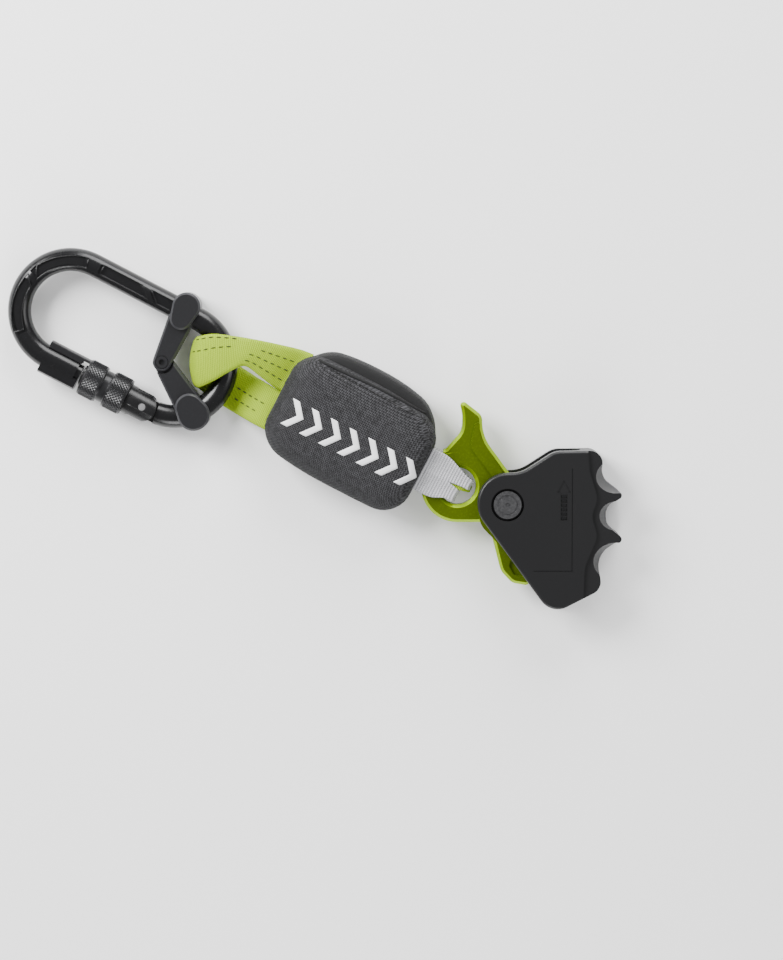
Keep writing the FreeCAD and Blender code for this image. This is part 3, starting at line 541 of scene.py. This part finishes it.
def stitch_rows(name, keys, count, rows, thick):
    """Dashed rows of stitches on a strip's face.
    Each row is (share of the width, first share, last share, side)."""
    strip = Strip(keys, count)
    points, faces = [], []
    for part, first, last, side in rows:
        run = range(int(first * (count - 1)), int(last * (count - 1)) + 1)
        line = [strip.spot(n, part, side * thick * MM / 2) for n in run]
        facing = [strip.normals[n] * side for n in run]
        gone, due, start = 0.0, 0.0, None
        for n in range(1, len(line)):
            gone += (line[n] - line[n - 1]).length
            if start is None and gone >= due:
                start = line[n]
            elif start is not None and (line[n] - start).length >= STITCH_LENGTH * MM:
                dash(points, faces, start, line[n], facing[n], THREAD * MM)
                due = gone + (STITCH_PITCH - STITCH_LENGTH) * MM
                start = None
    made = mesh_object(name, points, faces, "thread")
    fix_normals(made)
    return made


# Pouch ---------------------------------------------------------------------------

RING_POINTS = 96
# The pouch's two shells by level: height over the CAD block's floor, and how far
# the outline is drawn in there.
CASE_LEVELS = [
    (-1.2, 3.0), (-0.6, 1.4), (0.6, 0.5), (2.5, 0.2), (6, 0.0), (10, 0.0), (13.5, 0.5), (16, 1.5),
    (18, 3.3), (19.4, 5.8), (20.3, 9.0), (20.9, 13.0), (21.2, 17.5), (21.35, 21.5), (21.4, 24.5),
]
FLAP_LEVELS = [
    (0, 2.2), (0.3, 0.9), (1.2, 0.2), (4, 0.0), (9, 0.1), (13, 0.5), (15.6, 1.2), (16.4, 2.4), (16.5, 4.5),
]


def rounded_ring(left, low, right, high, radius, count):
    """Points round a rounded rectangle, evenly spread by angle in the corners."""
    corners = [
        (right - radius, high - radius, 0),
        (left + radius, high - radius, 90),
        (left + radius, low + radius, 180),
        (right - radius, low + radius, 270),
    ]
    steps = count // 8
    places = []
    for number, (x, y, first) in enumerate(corners):
        for step in range(steps + 1):
            turn = math.radians(first + 90 * step / steps)
            places.append((x + radius * math.cos(turn), y + radius * math.sin(turn)))
        next_x, next_y, _ = corners[(number + 1) % 4]
        end_turn = math.radians(first + 90)
        out_x, out_y = radius * math.cos(end_turn), radius * math.sin(end_turn)
        start = Vector((x + out_x, y + out_y))
        goal = Vector((next_x + out_x, next_y + out_y))
        for step in range(1, steps):
            places.append(tuple(start.lerp(goal, step / steps)))
    return places


def crumple(u, w, z):
    """Soft hollows and folds of sewn fabric, in millimetres."""
    depth = 0.27
    slow = noise.noise(Vector((u * 0.035, w * 0.05, z * 0.03 + 4)))
    fine = noise.noise(Vector((u * 0.12 + 7, w * 0.16, z * 0.1)))
    return depth * (0.8 * slow + 0.35 * fine)


def off_middle(u, low, high):
    """How far along the pouch a place is, from -1 at its left end to 1."""
    return (u - (low.x + high.x) / 2) / ((high.x - low.x) / 2)


def drawn_in(u, w, low, high):
    """The case narrows where the slings pull it: above on the right, below on the left."""
    share = off_middle(u, low, high)
    if w > 0:
        return w * (1 - 0.17 * max(0.0, share) ** 2 - 0.06 * max(0.0, -share) ** 4)
    return w * (1 - 0.15 * max(0.0, -share) ** 2 - 0.04 * max(0.0, share) ** 4)


def make_shell(name, block, levels, corner, place, material):
    """A closed shell round a CAD block, with one ring of points for each level.
    Corner gives a ring's corner radius, and place puts its points in space."""
    low, high = local_box(block)
    points = []
    for rise, inset in levels:
        sides = (low.x + inset, low.y + inset, high.x - inset, high.y - inset)
        for u, w in rounded_ring(*sides, corner(inset), RING_POINTS):
            points.append(place(u, w, low.z + rise, low, high))
    size = len(points) // len(levels)
    made = mesh_object(name, points, ring_faces(len(levels), size) + end_faces(len(levels), size), material)
    fix_normals(made)
    return made


def make_pouch():
    """The grey woven case: pulled in at its mouths, crowned on its face."""
    def corner(inset):
        return max(1.0, 12.5 - 0.5 * inset)

    def place(u, w, z, low, high):
        middle = (low + high) / 2
        across = abs(w - middle.y) / (high.y - middle.y)
        along = abs(u - middle.x) / (high.x - middle.x)
        sag = 0.9 * across ** 4 * along ** 2
        return at(u, drawn_in(u, w, low, high), z - sag + crumple(u, w, z))

    made = make_shell("pouch_case", "pouch_cover", CASE_LEVELS, corner, place, "pouch")
    work = bmesh.new()
    work.from_mesh(made.data)
    bmesh.ops.triangulate(work, faces=[face for face in work.faces if len(face.verts) > 4])
    work.to_mesh(made.data)
    work.free()
    fullness = made.modifiers.new("fullness", "SUBSURF")
    fullness.levels = 1
    fullness.render_levels = 2
    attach(made, "absorber")
    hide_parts("pouch_cover")
    return made


def make_flap():
    """The black back panel, which stands proud along the upper side."""
    def corner(_):
        return 14

    def place(u, w, z, low, high):
        share = off_middle(u, low, high)
        tucked = 5.0 * abs(share) ** 2.5 * max(0.0, w / high.y)
        return at(u, drawn_in(u, w, low, high) - tucked * (1.0 if share < 0 else 0.35), z)

    made = make_shell("pouch_back_flap", "pouch_flap", FLAP_LEVELS, corner, place, "flap")
    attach(made, "absorber")
    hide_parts("pouch_flap")


def surface_tree(made):
    """A search tree of a piece's final surface, for what lies on it."""
    graph = bpy.context.evaluated_depsgraph_get()
    shape = made.evaluated_get(graph)
    mesh = shape.to_mesh()
    points = [made.matrix_world @ vertex.co for vertex in mesh.vertices]
    tree = BVHTree.FromPolygons(points, [tuple(face.vertices) for face in mesh.polygons])
    shape.to_mesh_clear()
    return tree


def on_face(tree, u, w, lift):
    """The place on the pouch's face under (u, w), lifted off it, and the normal."""
    above = 60
    hit, normal, _, _ = tree.ray_cast(at(u, w, above), Vector((0, 0, -1)))
    if hit is None:
        return None, None
    return hit + normal * (lift * MM), normal


def make_print(tree):
    """A row of plain white chevrons printed along the pouch."""
    tall, thick, pitch, point = 12.5, 3.4, 9.4, 5.0
    count, first, middle, coat = 7, 6.5, -4.6, 0.12
    steps, cells = 10, 4
    low, _ = local_box("pouch_cover")
    points, faces = [], []
    for number in range(count):
        left = low.x + first + pitch * number
        chevron = []
        for step in range(2 * steps + 1):
            share = step / steps - 1
            u = left + point * (1 - abs(share))
            w = middle + share * tall / 2
            for cell in range(cells):
                chevron.append(on_face(tree, u + thick * cell / (cells - 1), w, coat)[0])
        if any(place is None for place in chevron):
            continue
        base = len(points)
        points.extend(chevron)
        for step in range(2 * steps):
            for cell in range(cells - 1):
                a = base + cells * step + cell
                faces.append((a, a + 1, a + cells + 1, a + cells))
    made = mesh_object("pouch_chevrons", points, faces, "print")
    fix_normals(made)
    thick_coat = made.modifiers.new("coat", "SOLIDIFY")
    thick_coat.thickness = coat * MM
    thick_coat.offset = 1
    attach(made, "absorber")


def make_seams(tree):
    """Whip stitching at the left mouth and one seam inside the upper edge."""
    whip_count, whip_first, whip_pitch = 34, -19.5, 1.15
    seam_count, seam_first, seam_pitch, seam_inset = 21, 12, 2.9, 4.4
    low, high = local_box("pouch_cover")
    points, faces = [], []

    def sew(start_place, end_place, lift, width):
        start, normal = on_face(tree, *start_place, lift)
        end, _ = on_face(tree, *end_place, lift)
        if start is not None and end is not None:
            dash(points, faces, start, end, normal, width * MM)

    for number in range(whip_count):
        w = whip_first + whip_pitch * number
        sew((low.x + 3.2 + 0.5 * math.sin(number * 2.3), w), (low.x + 1.0, w + 0.5), 0.15, 0.55)
    for number in range(seam_count):
        u = low.x + seam_first + seam_pitch * number
        w = high.y - seam_inset + 0.5 * math.sin(number * 0.35)
        sew((u, w), (u + 1.9, w), 0.12, 0.5)
    made = mesh_object("pouch_stitching", points, faces, "thread")
    fix_normals(made)
    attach(made, "absorber")


def bead(line, thick, points, faces, closed=False):
    """A round bead along a line of points, added to a mesh in the making."""
    sides, base, count = 8, len(points), len(line)
    for number, place in enumerate(line):
        if closed:
            ahead = line[(number + 1) % count] - line[number - 1]
        else:
            ahead = line[min(number + 1, count - 1)] - line[max(number - 1, 0)]
        ahead.normalize()
        aside = ahead.cross(Vector((0, 0, 1))).normalized()
        above = aside.cross(ahead)
        for step in range(sides):
            turn = 2 * math.pi * step / sides
            points.append(place + (aside * math.cos(turn) + above * math.sin(turn)) * (thick * MM))
    faces.extend(ring_faces(count, sides, base))
    if not closed:
        faces.extend(end_faces(count, sides, base))
        return
    last = base + (count - 1) * sides
    for step in range(sides):
        following = (step + 1) % sides
        faces.append((last + step, last + following, base + following, base + step))


# Each pocket of the connector's frame, as corners (along, across). Along runs
# round the far bow from the spine's end or, where it is negative, back along the
# spine. Across is in shares of the pockets' half width.
POCKET_HALF = 2.3
POCKETS = [
    [(-3.0, -1), (-3.0, 1), (-22.0, 1), (-27.0, -1)],
    [(-31.6, -1), (-26.6, 1), (-43.0, 1), (-43.0, -1)],
    [(4.2, -1), (4.2, 1), (26.5, 1), (30.5, -1)],
    [(35.0, -1), (31.0, 1), (57.0, 1), (57.0, -1)],
]


def make_ridges():
    """Raised lips round the pockets on both faces of the connector's frame."""
    lift, lip, spacing = 0.05, 0.32, 0.8
    low, high = local_box("carabiner_frame")
    bar, level = (high.z - low.z) / 2, (low.z + high.z) / 2
    reach = (high.y - low.y) / 2 - bar
    bow_u, bow_w = low.x + bar + reach, (high.y + low.y) / 2
    points, faces = [], []

    def spot(along, off, face):
        """A place on the bar, off millimetres outward from its middle line."""
        height = level + face * (math.sqrt(bar * bar - off * off) + lift)
        if along < 0:
            return at(bow_u - along, high.y - bar + off, height)
        turn = math.pi / 2 + along / reach
        away = reach + off
        return at(bow_u + away * math.cos(turn), bow_w + away * math.sin(turn), height)

    for face in (1, -1):
        for pocket in POCKETS:
            corners = [(along, side * POCKET_HALF) for along, side in pocket]
            line = []
            for number, start in enumerate(corners):
                end = corners[(number + 1) % len(corners)]
                steps = max(3, int(math.dist(start, end) / spacing))
                for step in range(steps):
                    share = step / steps
                    along = start[0] + (end[0] - start[0]) * share
                    line.append(spot(along, start[1] + (end[1] - start[1]) * share, face))
            bead(line, lip, points, faces, closed=True)
    made = mesh_object("frame_ridges", points, faces, "frame")
    fix_normals(made)
    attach(made, "connector")


def make_arrow_bars():
    """Plain raised bars inside the arrow's shaft, where wording would stand."""
    count, pitch, long, wide = 6, 1.95, 2.4, 1.2
    from_axle, lowest = 23.9, -6.5
    # Each of a bar's two levels: height over the face, and how far it is shrunk.
    levels = ((-0.35, 0.0), (0.02, 0.12))
    top = max(vertex.co.z for vertex in NODES["front_housing"].data.vertices)
    points, faces = [], []
    for number in range(count):
        base = len(points)
        x = AXLE.x / MM + from_axle
        y = lowest + pitch * number
        for level, shrink in levels:
            for right, far in ((0, 0), (1, 0), (1, 1), (0, 1)):
                place = Vector((x + long * right, y + wide * far, 0)) * MM
                inward = Vector(((0.5 - right) * 2 * shrink, (0.5 - far) * 2 * shrink, 0)) * MM
                points.append(place + inward + Vector((0, 0, top + level * MM)))
        faces.extend(end_faces(2, 4, base))
        faces.extend(ring_faces(2, 4, base))
    made = mesh_object("arrow_bars", points, faces, "frame", smooth=False)
    fix_normals(made)
    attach(made, "housing")


def make_piping(tree):
    """The bound hem along the case's upper edge."""
    count, margin, inset, thick = 60, 9, 2.3, 0.8
    low, high = local_box("pouch_cover")
    line = []
    for number in range(count):
        u = low.x + margin + (high.x - low.x - 2 * margin) * number / (count - 1)
        place, _ = on_face(tree, u, high.y - inset + 0.5 * math.sin(u * 0.1), 0.05)
        if place is not None:
            line.append(place)
    points, faces = [], []
    bead(line, thick, points, faces)
    made = mesh_object("pouch_hem", points, faces, "flap")
    fix_normals(made)
    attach(made, "absorber")


# Slings ---------------------------------------------------------------------------

SLING_THICK = 1.5
LINING_THICK = 0.9
# The green sling's run, in the keys of class Strip: out of the pouch, round the
# near end of the connector and back.
GREEN_KEYS = [
    (-84, 22.5, 1.6, -86, 1.2, 1.6, 0),
    (-90, 21.8, 1.8, -92.5, 1.2, 1.2, 0.3),
    (-100, 19.4, 4.4, -101, 2.8, 3.8, 1.0),
    (-111, 16.4, 6.8, -109, 3.9, 6.4, 1.0),
    (-120, 13.4, 7.0, -113.5, -1.0, 6.8, 0.6),
    (-128, 10.2, 6.4, -118, -8.0, 6.4, 0.8),
    (-132.8, 6.6, 4.0, -122.5, -13.8, 3.9, 1.6),
    (-134.2, 4.8, -2.2, -124.4, -15.0, -2.2, 2.2),
    (-132.6, 4.0, -7.8, -122.8, -15.4, -7.8, 1.2),
    (-126, 3.2, -9.6, -116.5, -16.6, -9.6, 0),
    (-114, 2.2, -9.4, -108, -17.6, -9.2, 0),
    (-104, 1.4, -6.6, -101, -17.8, -6.2, -0.6),
    (-94, 1.0, -1.2, -93, -17.8, -1.0, -0.3),
    (-84, 1.0, 0.0, -84, -17.6, 0.0, 0),
]


# Rows of stitches on the green sling, as stitch_rows takes them.
SLING_ROWS = [
    (0.22, 0.03, 0.25, 1), (0.46, 0.03, 0.24, 1), (0.70, 0.03, 0.20, 1),
    (0.70, 0.31, 0.50, 1), (0.93, 0.29, 0.51, 1),
    (0.3, 0.80, 0.93, -1), (0.55, 0.80, 0.93, -1),
]


def make_green_sling():
    """The sling that holds the connector, and the stitches on it."""
    sling = tape("connector_sling", GREEN_KEYS, 220, SLING_THICK, "lime_tape")
    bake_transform(sling)
    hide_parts("sling_green", "sling_green_tail")
    stitches = stitch_rows("sling_stitches", GREEN_KEYS, 1200, SLING_ROWS, SLING_THICK)
    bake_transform(stitches)


def lobe_keys(low_w, high_w, eye_u, eye_low, eye_high):
    """A leg over the ring, down through the eye and back under it."""
    return [
        (-24, high_w, 5.2, -24, low_w, 5.2, 0),
        (-17, high_w, 5.6, -17, low_w, 5.6, 0.6),
        (-9, high_w * 0.97, 5.7, -9, low_w * 0.97, 5.7, 0.9),
        (eye_u - 4.5, eye_high + 0.8, 5.6, eye_u - 4.5, eye_low, 5.6, 0.9),
        (eye_u - 0.8, eye_high, 4.6, eye_u - 0.8, eye_low, 4.6, 0.5),
        (eye_u, eye_high - 0.3, 0.0, eye_u, eye_low + 0.3, 0.0, 0.4),
        (eye_u - 0.8, eye_high, -4.6, eye_u - 0.8, eye_low, -4.6, 0.5),
        (eye_u - 4.5, eye_high + 0.6, -5.5, eye_u - 4.5, eye_low, -5.5, 0.6),
        (-12, high_w, -5.5, -12, low_w, -5.5, 0.6),
        (-24, high_w, -5.2, -24, low_w, -5.2, 0),
    ]


LINING_KEYS = [
    (-6, 2.2, 4.9, -6, -1.6, 4.9, 0),
    (-2, 2.0, 4.6, -2, -1.8, 4.6, 0),
    (3, 2.4, 3.6, 3, -0.9, 3.6, 0),
    (5.9, 2.6, 0.0, 5.9, -0.4, 0.0, 0),
    (4, 2.4, -3.6, 4, -0.6, -3.6, 0),
]


def make_grey_sling():
    """The grey webbing's two lobes in the lever's eye, and the lime lining."""
    upper_keys = lobe_keys(-0.6, 10.2, 5.4, 0.6, 5.4)
    lower_keys = lobe_keys(-10.2, 0.9, 1.6, -7.4, -1.2)
    upper = tape("eye_sling_upper", upper_keys, 110, SLING_THICK, "grey_tape")
    lower = tape("eye_sling_lower", lower_keys, 110, SLING_THICK, "grey_tape")
    lining = tape("eye_sling_lining", LINING_KEYS, 50, LINING_THICK, "lime_tape")
    for piece, kept_slot in ((upper, "webbing_grey"), (lower, "webbing_grey"), (lining, "webbing_green")):
        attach(piece, "absorber")
    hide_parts("sling_grey")


# Knurling -------------------------------------------------------------------------

KNURL_RADIUS = 8.4
KNURL_PROUD = 0.26
KNURL_SUNK = 0.08
KNURL_RIM = 0.25
KNURL_DEPTH = 0.9
KNURL_PITCH = 0.72
KNURL_ROUND = 72
# Each knurled band by how far its two ends lie from the sleeve's right end.
KNURL_BANDS = {"knurl_near": (8.6, 0.4), "knurl_far": (20.7, 12.8)}


def make_knurl(name, first, last):
    """Raised diamonds round one band of the locking sleeve."""
    centre = local(GATE_PIN)
    rows = max(4, int((last - first) / KNURL_PITCH)) | 1
    points, faces = [], []

    def ring_spot(u, step, reach):
        turn = 2 * math.pi * step / KNURL_ROUND
        return at(u, centre.y + reach * math.cos(turn), centre.z + reach * math.sin(turn))

    for row in range(rows):
        u = first + (last - first) * row / (rows - 1)
        for step in range(KNURL_ROUND):
            raised = KNURL_PROUD if (row + step) % 2 else -KNURL_SUNK
            if row in (0, rows - 1):
                raised = -KNURL_RIM
            points.append(ring_spot(u, step, KNURL_RADIUS + raised))
    base = len(points)
    for u in (first, last):
        for step in range(KNURL_ROUND):
            points.append(ring_spot(u, step, KNURL_RADIUS - KNURL_DEPTH))
    for row in range(rows - 1):
        a = row * KNURL_ROUND
        b = a + KNURL_ROUND
        for step in range(KNURL_ROUND):
            following = (step + 1) % KNURL_ROUND
            if (row + step) % 2:
                faces.append((a + step, a + following, b + step))
                faces.append((a + following, b + following, b + step))
            else:
                faces.append((a + step, a + following, b + following))
                faces.append((a + step, b + following, b + step))
    top = (rows - 1) * KNURL_ROUND
    far = base + KNURL_ROUND
    for step in range(KNURL_ROUND):
        following = (step + 1) % KNURL_ROUND
        faces.append((step, base + step, base + following, following))
        faces.append((top + step, top + following, far + following, far + step))
        faces.append((base + step, far + step, far + following, base + following))
    made = mesh_object(name, points, faces, "sleeve", smooth=False)
    fix_normals(made)
    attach(made, "lock_sleeve")


def make_knurls():
    _, high = local_box("lock_sleeve")
    for name, (first, last) in KNURL_BANDS.items():
        make_knurl(name, high.x - first, high.x - last)


# Stage, light and camera -------------------------------------------------------------

FLOOR_SIZE = 6
FLOOR_GAP = 0.0003
WORLD_STRENGTH = 0.45
LAMP_AIM = Vector((-0.09, 0.01, 0))
# Each lamp's name, place, size and power.
LAMPS = (
    ("key", (-0.75, 0.55, 0.6), 0.5, 26.0),
    ("back", (0.15, 0.95, 0.45), 0.6, 14.0),
    ("fill", (0.75, 0.1, 0.75), 0.7, 6.0),
    ("front", (-0.15, -0.85, 0.4), 0.5, 8.0),
)


def make_stage():
    """A pale floor, an even sky and four soft lamps."""
    low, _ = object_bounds()
    bpy.ops.mesh.primitive_plane_add(size=FLOOR_SIZE, location=(low[0] / 2, 0, low[2] - FLOOR_GAP))
    floor = bpy.context.object
    floor.name = "floor"
    floor.data.materials.append(new_material("floor_paper", (0.9, 0.9, 0.9), 0.9))
    world = bpy.context.scene.world or bpy.data.worlds.new("studio")
    bpy.context.scene.world = world
    world.use_nodes = True
    sky = world.node_tree.nodes["Background"].inputs
    sky["Color"].default_value = (1, 1, 1, 1)
    sky["Strength"].default_value = WORLD_STRENGTH
    for name, place, size, power in LAMPS:
        lamp = bpy.data.lights.new(name, "AREA")
        lamp.size = size
        lamp.energy = power
        holder = bpy.data.objects.new(name, lamp)
        holder.location = place
        holder.rotation_euler = (LAMP_AIM - Vector(place)).to_track_quat("-Z", "Y").to_euler()
        bpy.context.scene.collection.objects.link(holder)


def make_camera():
    """Looks almost straight down with a long lens, from a little up the rope."""
    target = Vector((-0.0775, 0.0103, 0.0))
    distance = 1.3
    view_height = 0.431
    sensor = 36
    tilt = math.radians(4.5)
    data = bpy.data.cameras.new("camera")
    data.sensor_fit = "VERTICAL"
    data.sensor_height = sensor
    data.lens = sensor * distance / view_height
    data.clip_start = 0.05
    camera = bpy.data.objects.new("camera", data)
    camera.location = target + Vector((0, math.sin(tilt), math.cos(tilt))) * distance
    camera.rotation_euler = (-tilt, 0, 0)
    bpy.context.scene.collection.objects.link(camera)
    bpy.context.scene.camera = camera


pouch = make_pouch()
make_flap()
pouch_tree = surface_tree(pouch)
make_print(pouch_tree)
make_seams(pouch_tree)
make_piping(pouch_tree)
make_green_sling()
make_grey_sling()
make_knurls()
make_ridges()
make_arrow_bars()
make_stage()
make_camera()
